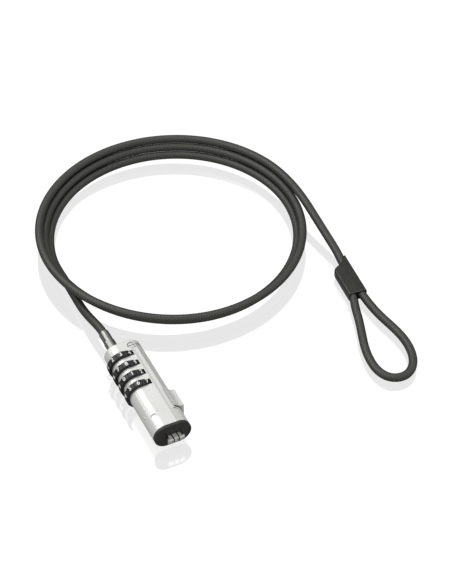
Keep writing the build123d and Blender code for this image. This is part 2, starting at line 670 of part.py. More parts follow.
# the jacket is stripped back where the rope enters the barrel
jacket_line = Spline((DIAL_X, 63.6, 0), (DIAL_X, 65.5, 0), *route[3:])
jacket_path = sweep_path(jacket_line)
tube_faces = []
for radius in (CABLE_R, CORE_HOLE_R):
    with BuildPart(mode=Mode.PRIVATE) as tube:
        with BuildSketch(Plane(origin=jacket_line @ 0, z_dir=jacket_line % 0)):
            Circle(radius)
        sweep(path=jacket_path)
    tube_faces.append(tube.faces())
# one hollow solid: outer skin, inner skin and the two ring-shaped ends
outer_ends, inner_ends = (faces.filter_by(GeomType.PLANE) for faces in tube_faces)
ring_ends = []
for outer in outer_ends:
    inner = min(inner_ends, key=lambda face: (face.center() - outer.center()).length)
    ring_ends.append(Face(outer.outer_wire(), [inner.outer_wire()]))
skins = [face for faces in tube_faces for face in faces.filter_by(GeomType.BSPLINE)]
with BuildPart() as cable_jacket:
    add(Solid(Shell(skins + ring_ends)))
save("cable_jacket", cable_jacket.part)

# ------------------------------------------------------- crimp and its cover
FERRULE_H = 4.86
FERRULE_HALF_L = 6.5
POCKET_H = FERRULE_H + 0.06
COVER_HALF_H = 2.76
# cover outline, (along, lateral) as in crimp_point; the first is at the eye end
COVER_OUTLINE = (
    (12.2, 4.95), (-5.2, 4.85), (-8.2, 3.9), (-10.0, 2.2),
    (-11.6, 0.75), (-13.4, 0.35), (-13.4, -4.65), (12.2, -4.85),
)


def crimp_plane(along):
    """Plane across the crimp: local x towards the right leg, local y up, facing the coil."""
    return Plane(origin=crimp_point(along, 0),
                 x_dir=(-CRIMP_DIR[1], CRIMP_DIR[0], 0),
                 z_dir=(-CRIMP_DIR[0], -CRIMP_DIR[1], 0))


with BuildPart() as crimp_ferrule:
    with BuildSketch(crimp_plane(FERRULE_HALF_L)):
        SlotOverall(2 * LEG_OFFSET + FERRULE_H, FERRULE_H)
        with Locations((LEG_OFFSET, 0), (-LEG_OFFSET, 0)):
            Circle(CABLE_R + 0.08, mode=Mode.SUBTRACT)
    extrude(amount=2 * FERRULE_HALF_L)
save("crimp_ferrule", crimp_ferrule.part)

with BuildPart() as crimp_sleeve:
    with BuildSketch(Plane.XY.offset(CRIMP_Z - COVER_HALF_H)):
        with BuildLine():
            corners = [crimp_point(along, lateral)[:2] for along, lateral in COVER_OUTLINE]
            Line(corners[0], corners[1])
            Spline(*corners[1:6])
            Line(corners[5], corners[6])
            Line(corners[6], corners[7])
            Line(corners[7], corners[0])
        make_face()
    extrude(amount=2 * COVER_HALF_H)
    flat_faces = crimp_sleeve.faces().sort_by(Axis.Z)
    fillet(flat_faces[-1].edges() + flat_faces[0].edges(), radius=0.9)
    # pocket for the ferrule and the two legs, open towards the eye
    with BuildSketch(crimp_plane(14)):
        SlotOverall(2 * LEG_OFFSET + POCKET_H, POCKET_H)
    extrude(amount=20.6, mode=Mode.SUBTRACT)
    # hole for the right leg, out to the coil
    with BuildSketch(crimp_plane(0)):
        with Locations((LEG_OFFSET, 0)):
            Circle(CABLE_R + 0.10)
    extrude(amount=20, mode=Mode.SUBTRACT)
save("crimp_sleeve", crimp_sleeve.part)
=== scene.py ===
# A cable lock with four figure dials. The lock's axis runs along Y at x = -3.05 mm. The
# cable leaves it towards +Y, is coiled in two and a half turns, and ends in a loop towards
# -Y whose end is crimped back on the cable. +Z is up. Sizes are in mm unless noted, and
# go through MM when they reach Blender.
import math
from contextlib import contextmanager

import bpy
import bmesh
import numpy as np
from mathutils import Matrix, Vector


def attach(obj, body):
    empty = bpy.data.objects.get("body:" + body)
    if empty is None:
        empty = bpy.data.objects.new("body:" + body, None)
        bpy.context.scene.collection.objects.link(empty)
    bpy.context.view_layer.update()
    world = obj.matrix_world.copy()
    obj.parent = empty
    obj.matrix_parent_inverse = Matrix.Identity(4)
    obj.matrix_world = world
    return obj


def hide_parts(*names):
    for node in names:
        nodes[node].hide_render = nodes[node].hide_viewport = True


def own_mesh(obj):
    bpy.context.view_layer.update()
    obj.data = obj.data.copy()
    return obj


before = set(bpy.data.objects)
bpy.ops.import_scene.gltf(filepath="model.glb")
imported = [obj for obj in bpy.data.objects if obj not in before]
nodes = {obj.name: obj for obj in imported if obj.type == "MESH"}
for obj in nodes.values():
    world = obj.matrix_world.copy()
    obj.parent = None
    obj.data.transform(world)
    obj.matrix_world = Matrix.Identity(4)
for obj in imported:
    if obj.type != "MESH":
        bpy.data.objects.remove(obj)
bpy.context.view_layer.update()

MM = 0.001
scene = bpy.context.scene

AXIS_X = -3.05            # the lock's long axis, at z = 0
CAMERA_AZIMUTH = -25.43   # degrees about Z

# ------------------------------------------------------------ mesh helpers


def link(obj):
    scene.collection.objects.link(obj)
    return obj


def mesh_object(name, verts, faces):
    mesh = bpy.data.meshes.new(name)
    mesh.from_pydata([tuple(v) for v in verts], [], [tuple(f) for f in faces])
    mesh.update()
    mesh.polygons.foreach_set("use_smooth", [True] * len(mesh.polygons))
    return link(bpy.data.objects.new(name, mesh))


@contextmanager
def editing(mesh):
    """A bmesh of the mesh, written back at the end."""
    bm = bmesh.new()
    bm.from_mesh(mesh)
    yield bm
    bm.to_mesh(mesh)
    bm.free()


def face_outwards(obj):
    with editing(obj.data) as bm:
        bmesh.ops.recalc_face_normals(bm, faces=bm.faces)


def smooth_by_angle(obj, degrees):
    """Marks edges sharper than the angle and shades the rest smooth."""
    limit = math.radians(degrees)
    with editing(obj.data) as bm:
        for face in bm.faces:
            face.smooth = True
        for edge in bm.edges:
            edge.smooth = not (len(edge.link_faces) == 2 and edge.calc_face_angle(0) > limit)


def quad_faces(row_count, ring, closed=False):
    """Quads between rows of ring points each; closed joins the last row to the first."""
    faces = []
    for i in range(row_count if closed else row_count - 1):
        this, after = i * ring, (i + 1) % row_count * ring
        for j in range(ring):
            k = (j + 1) % ring
            faces.append((this + j, this + k, after + k, after + j))
    return faces


def loft(name, rows):
    """Skin over rows of points in mm, with one flat face on each end."""
    ring = len(rows[0])
    faces = quad_faces(len(rows), ring)
    faces.append(tuple(reversed(range(ring))))
    faces.append(tuple(range((len(rows) - 1) * ring, len(rows) * ring)))
    return mesh_object(name, np.vstack(rows) * MM, faces)


def install(piece, material, rides, replaces=None):
    piece.data.materials.append(material)
    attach(piece, rides)
    if replaces:
        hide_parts(replaces)


# -------------------------------------------------------- material helpers


def feed(tree, socket, value):
    """Links a socket to an input, or sets the input to a plain value."""
    if hasattr(value, "is_output"):
        tree.links.new(value, socket)
    elif socket.type == "RGBA":
        socket.default_value = (*value, 1)
    else:
        socket.default_value = value


def add_node(tree, kind, inputs=None, **settings):
    node = tree.nodes.new("ShaderNode" + kind)
    for key, value in settings.items():
        setattr(node, key, value)
    for key, value in (inputs or {}).items():
        feed(tree, node.inputs[key], value)
    return node


def empty_tree(owner):
    owner.use_nodes = True
    owner.node_tree.nodes.clear()
    return owner.node_tree


def dimmed(colour, factor):
    return tuple(c * factor for c in colour)


class Mat:
    """Builds a principled material. Texture space is the object's own, in mm."""

    def __init__(self, name):
        self.material = bpy.data.materials.new(name)
        self.tree = empty_tree(self.material)
        output = self.node("OutputMaterial")
        self.shader = self.node("BsdfPrincipled")
        self.tree.links.new(self.shader.outputs[0], output.inputs[0])
        self.normal = None
        self.mm = self.stretch(self.node("TexCoord").outputs["Object"], (1000, 1000, 1000))

    def node(self, kind, inputs=None, **settings):
        return add_node(self.tree, kind, inputs, **settings)

    def set(self, **values):
        for key, value in values.items():
            feed(self.tree, self.shader.inputs[key.replace("_", " ")], value)

    def stretch(self, vector, scale):
        return self.node("Mapping", {0: vector, "Scale": scale}).outputs[0]

    def noise(self, scale, detail=3.0, rough=0.5, vector=None):
        return self.node("TexNoise", {
            "Scale": scale, "Detail": detail, "Roughness": rough,
            "Vector": vector or self.mm}).outputs["Fac"]

    def ramp(self, value, span=(0.3, 0.7), to=(0.0, 1.0)):
        """Maps span linearly onto to and clamps; the default span suits noise."""
        return self.node("MapRange", {
            "Value": value, "From Min": span[0], "From Max": span[1],
            "To Min": to[0], "To Max": to[1]}).outputs["Result"]

    def math(self, operation, a, b=0.0):
        return self.node("Math", {0: a, 1: b}, operation=operation).outputs[0]

    def mix(self, factor, off, on):
        """Colour off where factor is 0, on where it is 1."""
        return self.node("Mix", {0: factor, 6: off, 7: on}, data_type="RGBA").outputs[2]

    def bevel(self, radius):
        return self.node("Bevel", {"Radius": radius * MM}, samples=6).outputs[0]

    def edges(self, radius):
        """1 on corners within radius, from the bevel normal's turn."""
        turn = self.node("VectorMath", {
            0: self.bevel(radius), 1: self.node("NewGeometry").outputs["Normal"]},
            operation="DOT_PRODUCT")
        return self.ramp(turn.outputs["Value"], span=(0.97, 0.75))

    def shade_in_hollows(self, distance):
        """Mask for painted shade: 0 in hollows that ambient occlusion finds, 1 in the open.
        """
        occlusion = self.node("AmbientOcclusion", {"Distance": distance * MM}, samples=6)
        return self.ramp(occlusion.outputs["AO"], span=(0.35, 0.95))

    def round_edges(self, radius):
        """Shades corners as if rounded; comes before any bump."""
        self.normal = self.bevel(radius)

    def bump(self, height, strength, depth):
        """Adds relief on top of what is there, so the finest comes last."""
        inputs = {"Strength": strength, "Distance": depth * MM, "Height": height}
        if self.normal:
            inputs["Normal"] = self.normal
        self.normal = self.node("Bump", inputs).outputs[0]
        self.set(Normal=self.normal)


# ---------------------------------------------------------------- materials

# Strands showing through the cable's skin, both as relief and as colour: a lay along
# the cable and a counter lay of twice the pitch.
LAY_PITCH = 0.76
LAY_STARTS = 4
LAY_SHARE, COUNTER_SHARE = 0.72, 0.28


def silver_lacquer(name, tint=(0.89, 0.885, 0.855)):
    m = Mat(name)
    fine = m.noise(scale=9.0)
    flakes = m.node("TexVoronoi", {"Scale": 16.0, "Vector": m.mm}, feature="F1")
    colour = m.mix(m.ramp(m.noise(scale=0.12, detail=2)), off=tint, on=dimmed(tint, 0.94))
    colour = m.mix(m.ramp(flakes.outputs["Distance"], span=(0.1, 0.6), to=(0.0, 0.14)),
                   off=colour, on=(0.93, 0.93, 0.91))
    # painted shade: hollows darkened towards grey in the colour, from ambient occlusion
    colour = m.mix(m.shade_in_hollows(distance=1.6), off=(0.30, 0.30, 0.29), on=colour)
    # rubbed edges, worn a little lighter
    lighter_edges = m.math("MULTIPLY", m.edges(radius=0.12),
                  m.ramp(m.noise(scale=0.9, detail=4), span=(0.42, 0.62)))
    m.set(Base_Color=m.mix(lighter_edges, off=colour, on=(0.92, 0.92, 0.92)), Metallic=0.35,
          Roughness=m.ramp(fine, to=(0.34, 0.42)), Coat_Weight=0.10, Coat_Roughness=0.30)
    m.round_edges(radius=0.10)
    m.bump(m.noise(scale=0.5, detail=2), strength=0.05, depth=0.05)
    m.bump(fine, strength=0.03, depth=0.01)
    return m.material


def black_plastic(name, base, rough, grain_scale):
    m = Mat(name)
    grain = m.noise(scale=grain_scale, detail=4, rough=0.6)
    lighter = tuple(c * 1.5 + 0.002 for c in base)
    colour = m.mix(m.ramp(m.noise(scale=0.3), span=(0.35, 0.65)), off=base, on=lighter)
    # rubbed edges, worn lighter
    lighter_edges = m.math("MULTIPLY", m.edges(radius=0.12),
                  m.ramp(m.noise(scale=1.2, detail=4), span=(0.35, 0.65)))
    colour = m.mix(m.math("MULTIPLY", lighter_edges, 0.5), off=colour, on=(0.10, 0.10, 0.10))
    m.set(Base_Color=colour, Roughness=m.ramp(grain, to=rough), Specular_IOR_Level=0.5)
    m.round_edges(radius=0.12)
    m.bump(grain, strength=0.25, depth=0.03)
    return m.material


def steel(name, base=(0.55, 0.55, 0.55), rough=(0.22, 0.36), stretch=(1, 14, 14),
          rounding=0.06, metallic=1.0):
    """Ground steel; its fine lines lie along the axis that is stretched least."""
    m = Mat(name)
    lines = m.noise(scale=2.0, detail=5, rough=0.65, vector=m.stretch(m.mm, stretch))
    colour = m.mix(m.ramp(m.noise(scale=0.7)), off=base, on=dimmed(base, 0.82))
    # painted shade: hollows darkened towards near black in the colour, from ambient
    # occlusion
    colour = m.mix(m.shade_in_hollows(distance=0.8), off=(0.10, 0.10, 0.095), on=colour)
    m.set(Base_Color=colour, Metallic=metallic, Roughness=m.ramp(lines, to=rough))
    m.round_edges(radius=rounding)
    m.bump(lines, strength=0.12, depth=0.02)
    return m.material


def skin_plastic(name):
    m = Mat(name)
    route_uv = m.node("UVMap", uv_map="route")
    u_v = m.node("SeparateXYZ", {0: route_uv.outputs[0]}).outputs
    # u runs along the cable in mm, v once round it
    along = m.math("MULTIPLY", u_v[0], 2 * math.pi / LAY_PITCH)
    around = m.math("MULTIPLY", u_v[1], LAY_STARTS * 2 * math.pi)
    lay = m.math("SINE", m.math("ADD", along, around))
    counter = m.math("SINE", m.math("SUBTRACT", m.math("MULTIPLY", along, 0.5), around))
    ribs = m.math("ADD", m.math("MULTIPLY", lay, LAY_SHARE),
                  m.math("MULTIPLY", counter, COUNTER_SHARE))
    grain = m.noise(scale=7.0, detail=4, rough=0.6)
    dark = m.mix(m.ramp(m.noise(scale=0.05), span=(0.35, 0.65)),
                 off=(0.012, 0.012, 0.010), on=(0.017, 0.017, 0.014))
    colour = m.mix(m.ramp(ribs, span=(-0.9, 0.9)), off=dark, on=(0.098, 0.0985, 0.086))
    colour = m.mix(m.ramp(grain, span=(0.45, 0.75), to=(0, 0.25)),
                   off=colour, on=(0.11, 0.11, 0.10))
    # painted shade: the skin's sides, where it turns away from the camera, are darkened in
    # the colour, so they read darker than its crown
    facing = m.node("LayerWeight", {"Blend": 0.5}).outputs["Facing"]
    colour = m.mix(m.ramp(facing, span=(0.25, 0.75)), off=colour, on=dark)
    m.set(Base_Color=colour, Roughness=m.ramp(grain, to=(0.36, 0.50)),
          Specular_IOR_Level=0.5)
    m.bump(ribs, strength=0.5, depth=0.05)
    m.bump(grain, strength=0.25, depth=0.03)
    return m.material


def plastic_with_painted_edge_highlight(name):
    m = Mat(name)
    grain = m.noise(scale=5.0, detail=4, rough=0.6)
    colour = m.mix(m.ramp(m.noise(scale=0.25), span=(0.35, 0.65)),
                   off=(0.015, 0.0155, 0.010), on=(0.022, 0.0225, 0.0145))
    # painted highlight: the cover's edges lightened towards pale grey in the colour,
    # standing in for the light lines along its top edges
    lighter_edges = m.math("MULTIPLY", m.edges(radius=0.35),
                  m.ramp(m.noise(scale=1.5, detail=4), span=(0.2, 0.6), to=(0.4, 1.0)))
    colour = m.mix(m.math("MULTIPLY", lighter_edges, 0.9), off=colour, on=(0.55, 0.55, 0.50))
    m.set(Base_Color=colour, Roughness=m.ramp(grain, to=(0.28, 0.38)),
          Specular_IOR_Level=0.5)
    m.bump(m.noise(scale=0.5, detail=2), strength=0.10, depth=0.1)
    m.bump(grain, strength=0.10, depth=0.02)
    return m.material


def figure_paint(name):
    m = Mat(name)
    grain = m.noise(scale=8.0, detail=4, rough=0.6)
    m.set(Base_Color=m.mix(m.ramp(grain, span=(0.5, 0.8)),
                           off=(0.95, 0.95, 0.93), on=(0.72, 0.72, 0.70)),
          Roughness=0.5)
    m.bump(grain, strength=0.2, depth=0.02)
    return m.material


def stranded_metal(name):
    m = Mat(name)
    bands = m.node("TexWave", {"Scale": 0.9, "Distortion": 0.5, "Vector": m.mm},
                   bands_direction="DIAGONAL").outputs["Fac"]
    m.set(Base_Color=m.mix(bands, off=(0.32, 0.32, 0.31), on=(0.62, 0.62, 0.60)),
          Metallic=1.0, Roughness=0.34)
    m.bump(bands, strength=0.5, depth=0.08)
    return m.material


def brass(name):
    m = Mat(name)
    lines = m.noise(scale=2.5, detail=5, rough=0.6, vector=m.stretch(m.mm, (1, 12, 1)))
    m.set(Base_Color=m.mix(m.ramp(m.noise(scale=0.6)),
                           off=(0.70, 0.50, 0.22), on=(0.55, 0.40, 0.18)),
          Metallic=1.0, Roughness=m.ramp(lines, to=(0.25, 0.4)))
    m.round_edges(radius=0.06)
    m.bump(lines, strength=0.12, depth=0.02)
    return m.material


SILVER = silver_lacquer("silver_lacquer")
SLIDER_SILVER = silver_lacquer("silver_lacquer_slider", tint=(0.86, 0.86, 0.83))
CAP_BLACK = black_plastic("cap_plastic", base=(0.021, 0.0205, 0.0185),
                          rough=(0.42, 0.55), grain_scale=14.0)
DIAL_BLACK = black_plastic("dial_black", base=(0.010, 0.010, 0.011),
                           rough=(0.28, 0.42), grain_scale=10.0)
FIGURE_WHITE = figure_paint("figure_white")
GROUND_STEEL = steel("steel_ground")
HOOK_STEEL = steel("hook_steel", base=(0.78, 0.77, 0.74), rough=(0.30, 0.42),
                   stretch=(8, 1, 8), metallic=0.55)
PIN_STEEL = steel("pin_steel", base=(0.66, 0.66, 0.66), rough=(0.18, 0.3),
                  stretch=(6, 6, 6))
SPRING_STEEL = steel("spring_steel", base=(0.48, 0.48, 0.50), rough=(0.2, 0.32),
                     stretch=(6, 6, 6), rounding=0.03)
BARREL_NICKEL = steel("barrel_nickel", base=(0.36, 0.36, 0.335), rough=(0.24, 0.34),
                      stretch=(1.5, 0.6, 1.5))
SCREW_SILVER = silver_lacquer("screw_silver", tint=(0.84, 0.84, 0.81))
# painted highlight: the cross pins get a near-white lacquer, so that their ends show as a
# bright glint
DOWEL_PAINTED_HIGHLIGHT = silver_lacquer("dowel_painted_highlight", tint=(0.97, 0.97, 0.95))
CRIMP_ALUMINIUM = steel("crimp_aluminium", base=(0.68, 0.68, 0.68), rough=(0.32, 0.5),
                        stretch=(2, 2, 2))
SLEEVE_BRASS = brass("sleeve_brass")
ROPE_METAL = stranded_metal("rope_metal")
CABLE_PLASTIC = skin_plastic("cable_plastic")
COVER_PLASTIC = plastic_with_painted_edge_highlight("cover_plastic")

NODE_MATERIALS = {
    "housing": SILVER, "thumb_slider": SLIDER_SILVER, "nose_cap": CAP_BLACK,
    "nose_block": GROUND_STEEL, "hook_pins": PIN_STEEL, "hook_left": HOOK_STEEL,
    "hook_right": HOOK_STEEL, "hook_springs": SPRING_STEEL, "wedge_blade": HOOK_STEEL,
    "carriage": GROUND_STEEL, "slider_screw": PIN_STEEL, "spindle": GROUND_STEEL,
    "spindle_clip": SPRING_STEEL, "return_spring": SPRING_STEEL,
    "detent_spring": SPRING_STEEL, "code_change_screw": SCREW_SILVER,
    "rear_bush": PIN_STEEL, "cross_pins": DOWEL_PAINTED_HIGHLIGHT, "cable_barrel": BARREL_NICKEL,
    "cable_core": ROPE_METAL, "cable_jacket": CABLE_PLASTIC,
    "crimp_ferrule": CRIMP_ALUMINIUM, "crimp_sleeve": COVER_PLASTIC,
}
for n in range(1, 5):
    NODE_MATERIALS[f"dial_{n}"] = DIAL_BLACK
    NODE_MATERIALS[f"dial_sleeve_{n}"] = SLEEVE_BRASS
for name, material in NODE_MATERIALS.items():
    nodes[name].data.materials.clear()
    nodes[name].data.materials.append(material)

# -------------------------------------------------------------- cable route

# Coil: the radius and height are at its top end and change with each turn downwards.
COIL_X, COIL_Y = 55.68, 123.87
COIL_TOP_RADIUS, RADIUS_DROP = 66.10, 2.50
COIL_TOP_Z, TURN_DROP = 3.32, 3.25
COIL_TOP_ANGLE, COIL_BOTTOM_ANGLE, COIL_STEP = 30, 930, 10
# a hump in each turn above the lowest stretch
HUMP_ANGLE, HUMP_HALF_WIDTH, HUMP_HEIGHT, HUMPS_BELOW = 228, 75, 1.35, 760

# The crimp holds two legs of the cable side by side. Places on it are measured along
# CRIMP_DIR, roughly -Y, and across it, positive towards -X.
CRIMP_X, CRIMP_Y, CRIMP_Z = 119.90, 60.00, -4.38
CRIMP_DIR = (-0.0785, -0.9969)
LEGS_MIDDLE, LEG_OFFSET = 0.90, 2.15
LEG_IN, LEG_END = LEGS_MIDDLE - LEG_OFFSET, LEGS_MIDDLE + LEG_OFFSET

REST_Z = -4.85            # centre of the cable where it lies on the floor
NEAR_REST_Z = -4.72
BESIDE_CRIMP_Z = -4.55


def coil_point(angle):
    """Point on the coil; angles are in degrees from the camera's right."""
    turns = (angle - COIL_TOP_ANGLE) / 360
    radius = COIL_TOP_RADIUS - RADIUS_DROP * turns
    z = COIL_TOP_Z - TURN_DROP * turns
    off_hump = (angle - HUMP_ANGLE + 180) % 360 - 180
    if angle < HUMPS_BELOW and abs(off_hump) < HUMP_HALF_WIDTH:
        z += HUMP_HEIGHT * 0.5 * (1 + math.cos(math.pi * off_hump / HUMP_HALF_WIDTH))
    turned = math.radians(angle + CAMERA_AZIMUTH)
    return (COIL_X + radius * math.cos(turned), COIL_Y + radius * math.sin(turned), z)


def crimp_point(along, across, z):
    dx, dy = CRIMP_DIR
    return (CRIMP_X + along * dx + across * dy, CRIMP_Y + along * dy - across * dx, z)


# Stations x, y, z from the lock to the cable's end
route = [(AXIS_X, 63.6, 0), (AXIS_X, 65.5, 0), (AXIS_X, 67.5, 0), (AXIS_X, 71.2, 0),
         (-3.35, 76.5, -0.25), (-3.90, 82.5, -1.15), (-4.22, 89.0, -2.65),
         (-4.25, 95.5, -3.95), (-4.05, 102.0, NEAR_REST_Z)]
# up the coil
route += [coil_point(angle)
          for angle in range(COIL_BOTTOM_ANGLE, COIL_TOP_ANGLE - 1, -COIL_STEP)]
# down to the crimp
route += [(122.1, 120, 3.45), (122.35, 111, 2.75), (122.5, 102, 1.15),
          (122.68, 92, -0.85), (122.85, 83, -2.65), (122.75, 77, -3.75)]
# through the crimp, a little off the leg's line before and after it
route += [crimp_point(-12.0, LEG_IN - 0.12, CRIMP_Z + 0.05)]
route += [crimp_point(along, LEG_IN, CRIMP_Z) for along in (-7, -3.5, 0, 3.5, 7, 10.5)]
route += [crimp_point(14.3, LEG_IN - 0.38, BESIDE_CRIMP_Z)]
# round the end loop
route += [(120.52, 42.3, NEAR_REST_Z),
          (120.85, 36.5, REST_Z), (121.75, 29, REST_Z), (123.2, 21, REST_Z),
          (124.0, 12.5, REST_Z), (122.9, 3.4, REST_Z), (118.7, -4.9, REST_Z),
          (113.0, -8.3, REST_Z), (107.1, -7.0, REST_Z), (103.6, -1.5, REST_Z),
          (103.1, 5.8, REST_Z), (104.8, 15, REST_Z), (108.2, 25, REST_Z),
          (111.3, 34, REST_Z), (113.75, 42.0, NEAR_REST_Z)]
# back into the crimp
route += [crimp_point(14.3, LEG_END + 0.55, BESIDE_CRIMP_Z)]
route += [crimp_point(along, LEG_END, CRIMP_Z) for along in (10.5, 7, 3.5, 0, -2.8)]


def chord_lengths(points):
    """Distance of each point from the first, summed along the points."""
    return np.r_[0, np.cumsum(np.linalg.norm(np.diff(points, axis=0), axis=1))]


def spline_points(stations, step):
    """Points about step apart on a natural cubic spline through the stations."""
    stations = np.array(stations, float)
    knots = chord_lengths(stations)
    gaps = np.diff(knots)
    slopes = np.diff(stations, axis=0) / gaps[:, None]
    count = len(knots)
    # solve for the second derivatives, which are 0 at both ends
    system = np.eye(count)
    right_side = np.zeros((count, 3))
    for i in range(1, count - 1):
        system[i, i - 1:i + 2] = gaps[i - 1], 2 * (gaps[i - 1] + gaps[i]), gaps[i]
        right_side[i] = 6 * (slopes[i] - slopes[i - 1])
    bend = np.linalg.solve(system, right_side)

    places = np.linspace(0, knots[-1], int(knots[-1] / step))
    k = np.clip(np.searchsorted(knots, places) - 1, 0, count - 2)
    to_next = (knots[k + 1] - places)[:, None]
    from_last = (places - knots[k])[:, None]
    gap = gaps[k][:, None]
    return (bend[k] * to_next**3 / (6 * gap) + bend[k + 1] * from_last**3 / (6 * gap)
            + (stations[k] / gap - bend[k] * gap / 6) * to_next
            + (stations[k + 1] / gap - bend[k + 1] * gap / 6) * from_last)


def twist_free_normals(centres):
    """Two unit normals at each point of a line, turning no more than it does."""
    tangents = np.gradient(centres, axis=0)
    tangents /= np.linalg.norm(tangents, axis=1)[:, None]
    normals = np.zeros_like(centres)
    normal = np.cross(tangents[0], (0, 0, 1.0))
    normal /= np.linalg.norm(normal)
    for i, tangent in enumerate(tangents):
        normal = normal - tangent * (normal @ tangent)
        normal /= np.linalg.norm(normal)
        normals[i] = normal
    return normals, np.cross(tangents, normals)


def sweep(name, centres, radius, segments, relief=None):
    """Round sweep along centres; relief(distance, angle) adds to the radius.

    UV map "route" has u along the sweep in mm and v once round it.
    """
    normals, binormals = twist_free_normals(centres)
    distance = chord_lengths(centres)
    angle = np.arange(segments) * 2 * math.pi / segments
    radii = np.full((len(centres), segments), float(radius))
    if relief is not None:
        radii = radii + relief(distance[:, None], angle[None, :])
    outward = (np.cos(angle)[None, :, None] * normals[:, None, :]
               + np.sin(angle)[None, :, None] * binormals[:, None, :])
    skin = (centres[:, None, :] + radii[..., None] * outward).reshape(-1, 3)
    verts = np.vstack([skin, centres[0], centres[-1]]) * MM

    quads = np.array(quad_faces(len(centres), segments))
    first_hub, last_ring = len(skin), len(skin) - segments
    ring = [(j, (j + 1) % segments) for j in range(segments)]
    fans = ([(first_hub, k, j) for j, k in ring]
            + [(first_hub + 1, last_ring + j, last_ring + k) for j, k in ring])
    quad_count, fan_count = len(quads), len(fans)
    corners = np.concatenate([quads.ravel(), np.ravel(fans)])
    starts = np.concatenate([np.arange(quad_count) * 4,
                             quad_count * 4 + np.arange(fan_count) * 3])

    mesh = bpy.data.meshes.new(name)
    mesh.vertices.add(len(verts))
    mesh.vertices.foreach_set("co", verts.astype(np.float32).ravel())
    mesh.loops.add(len(corners))
    mesh.loops.foreach_set("vertex_index", corners.astype(np.int32))
    mesh.polygons.add(quad_count + fan_count)
    mesh.polygons.foreach_set("loop_start", starts.astype(np.int32))
    mesh.update(calc_edges=True)

    uv = np.zeros((len(corners), 2), np.float32)
    row, column = np.divmod(np.arange(quad_count), segments)
    uv[:quad_count * 4, 0] = distance[np.stack([row, row, row + 1, row + 1], -1)].ravel()
    uv[:quad_count * 4, 1] = np.stack([column, column + 1, column + 1, column],
                                      -1).ravel() / segments
    mesh.uv_layers.new(name="route").data.foreach_set("uv", uv.ravel())
    mesh.polygons.foreach_set("use_smooth", np.ones(quad_count + fan_count, bool))
    return link(bpy.data.objects.new(name, mesh))


# ------------------------------------------------------------ cable and rope

CABLE_RADIUS, CABLE_SEGMENTS = 2.055, 18
CABLE_STEP = 0.2533
LAY_HEIGHT, LAY_SINK = 0.040, 0.010

ROPE_RADIUS, ROPE_SEGMENTS = 1.09, 18
ROPE_STEP = 0.6
ROPE_STRANDS, ROPE_PITCH, STRAND_HEIGHT = 6, 9.0, 0.10
ROPE_START = [(AXIS_X, 59.0, 0), (AXIS_X, 61.5, 0)]   # the rope's part inside the lock


def skin_relief(distance, angle):
    """Crossed lays of strands showing through the skin."""
    wave = 2 * math.pi / LAY_PITCH
    lay = np.sin(wave * distance + LAY_STARTS * angle)
    counter = np.sin(0.5 * wave * distance - LAY_STARTS * angle)
    return LAY_HEIGHT * (LAY_SHARE * lay + COUNTER_SHARE * counter) - LAY_SINK


def rope_relief(distance, angle):
    """Strands laid round the rope."""
    phase = ROPE_STRANDS / 2 * angle - 2 * math.pi * distance / ROPE_PITCH
    return STRAND_HEIGHT * (np.abs(np.cos(phase)) - 0.75)


cable = sweep("cable_cover", spline_points(route, CABLE_STEP), CABLE_RADIUS,
              CABLE_SEGMENTS, skin_relief)
install(cable, CABLE_PLASTIC, rides="cable", replaces="cable_jacket")

rope = sweep("steel_rope", spline_points(ROPE_START + route, ROPE_STEP), ROPE_RADIUS,
             ROPE_SEGMENTS, rope_relief)
install(rope, ROPE_METAL, rides="cable", replaces="cable_core")

# -------------------------------------------------------- crimp and its cover

FERRULE_RADIUS = 2.0
FERRULE_ARC_POINTS = 13
# along the crimp, added radius
FERRULE_STATIONS = (
    (-2.4, 0.10), (-2.4, 0.20), (-2.2, 0.23), (-0.9, 0.23), (-0.7, 0.17),
    (-0.1, 0.17), (0.1, 0.23), (1.9, 0.23), (2.1, 0.17), (2.7, 0.17),
    (2.9, 0.23), (6.1, 0.23), (6.3, 0.20), (6.3, 0.10))

COVER_HALF_HEIGHT = 2.55
COVER_RADII = (1.5, 1.05)     # corners at the bottom and at the top
COVER_RIGHT = -3.80           # the straight edge on the +X side, across the crimp
TAPER_END = -3.6              # sections are closer together up to here
TAPER_SECTIONS, BODY_SECTIONS = 60, 14
# The cover's left edge, on the -X side: along the crimp, across it
COVER_LEFT = (
    (-12.85, -2.25), (-12.5, -2.05), (-11.6, -1.55), (-10.2, -0.70), (-9.2, 0.15),
    (-8.5, 0.95), (-8.0, 1.75), (-7.6, 2.55), (-7.15, 3.45), (-6.7, 4.25),
    (-6.1, 4.88), (-5.5, 5.25), (-4.6, 5.50), (-3.6, 5.58), (-1.0, 5.60),
    (4.0, 5.61), (9.0, 5.62), (12.7, 5.62))
# Rows that close the narrow +Y end: share of the end section's size, distance beyond it
COVER_NOSE = ((0.25, 0.30), (0.7, 0.26), (0.92, 0.14))
CORNER_POINTS = 7

# Pocket for the two legs, open at the -Y end
POCKET_MARGIN = 2.28          # from the legs' centres to its walls
POCKET_RADIUS = 2.2
POCKET_DEPTHS = (12.62, 9.0, 4.0)
LIP_SHARE, LIP_BULGE = 0.65, 0.05


def ferrule_mesh(name):
    """Flattened double barrel round both legs, inside the cover."""
    rows = []
    for along, extra in FERRULE_STATIONS:
        radius = FERRULE_RADIUS + extra
        row = []
        for leg, start in ((LEG_END, -90), (LEG_IN, 90)):
            for k in range(FERRULE_ARC_POINTS):
                angle = math.radians(start + 180 * k / (FERRULE_ARC_POINTS - 1))
                row.append(crimp_point(along, leg + radius * math.cos(angle),
                                       CRIMP_Z + radius * math.sin(angle)))
        rows.append(np.array(row))
    obj = loft(name, rows)
    face_outwards(obj)
    smooth_by_angle(obj, 40)
    return obj


